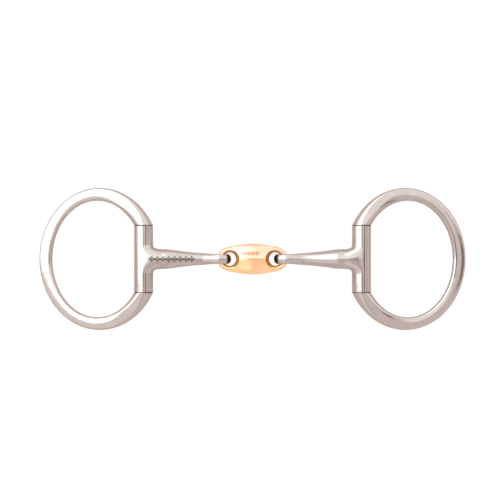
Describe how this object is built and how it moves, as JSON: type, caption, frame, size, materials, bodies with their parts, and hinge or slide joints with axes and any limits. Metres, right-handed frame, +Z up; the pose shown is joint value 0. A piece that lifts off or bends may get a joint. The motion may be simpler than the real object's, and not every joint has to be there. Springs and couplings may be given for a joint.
{
  "type": "eggbutt snaffle bit",
  "caption": "Flat-ring eggbutt snaffle bit: steel mouthpiece arms linked by a copper lozenge, rings that swing on hinge pins.",
  "frame": {"origin": "on the resting surface, under the middle of the lozenge", "axes": "+X along the mouthpiece towards the right ring, +Y along the barrels, +Z up from the surface the bit lies on"},
  "size_m": [0.2734, 0.091, 0.0128],
  "materials": {
    "copper_alloy": "polished copper alloy",
    "polished_steel": "polished stainless steel"
  },
  "bodies": {
    "lozenge": {"copper_lozenge": "copper_alloy"},
    "left_arm": {"left_mouthpiece_arm": "polished_steel"},
    "left_ring": {"left_flat_ring": "polished_steel", "left_hinge_pin": "polished_steel"},
    "right_arm": {"right_mouthpiece_arm": "polished_steel"},
    "right_ring": {"right_flat_ring": "polished_steel", "right_hinge_pin": "polished_steel"}
  },
  "joints": [
    {"name": "left_arm_fold", "type": "hinge", "parent": "lozenge", "child": "left_arm", "pos_m": [-0.01425, 0, 0.0064], "axis": [0, 0, -1], "range_deg": [-50, 50]},
    {"name": "right_arm_fold", "type": "hinge", "parent": "lozenge", "child": "right_arm", "pos_m": [0.01425, 0, 0.0064], "axis": [0, 0, 1], "range_deg": [-50, 50]},
    {"name": "left_ring_swing", "type": "hinge", "parent": "left_arm", "child": "left_ring", "pos_m": [-0.06955, 0, 0.0064], "axis": [0, 1, 0], "range_deg": [-120, 120]},
    {"name": "right_ring_swing", "type": "hinge", "parent": "right_arm", "child": "right_ring", "pos_m": [0.06955, 0, 0.0064], "axis": [0, -1, 0], "range_deg": [-120, 120]}
  ]
}
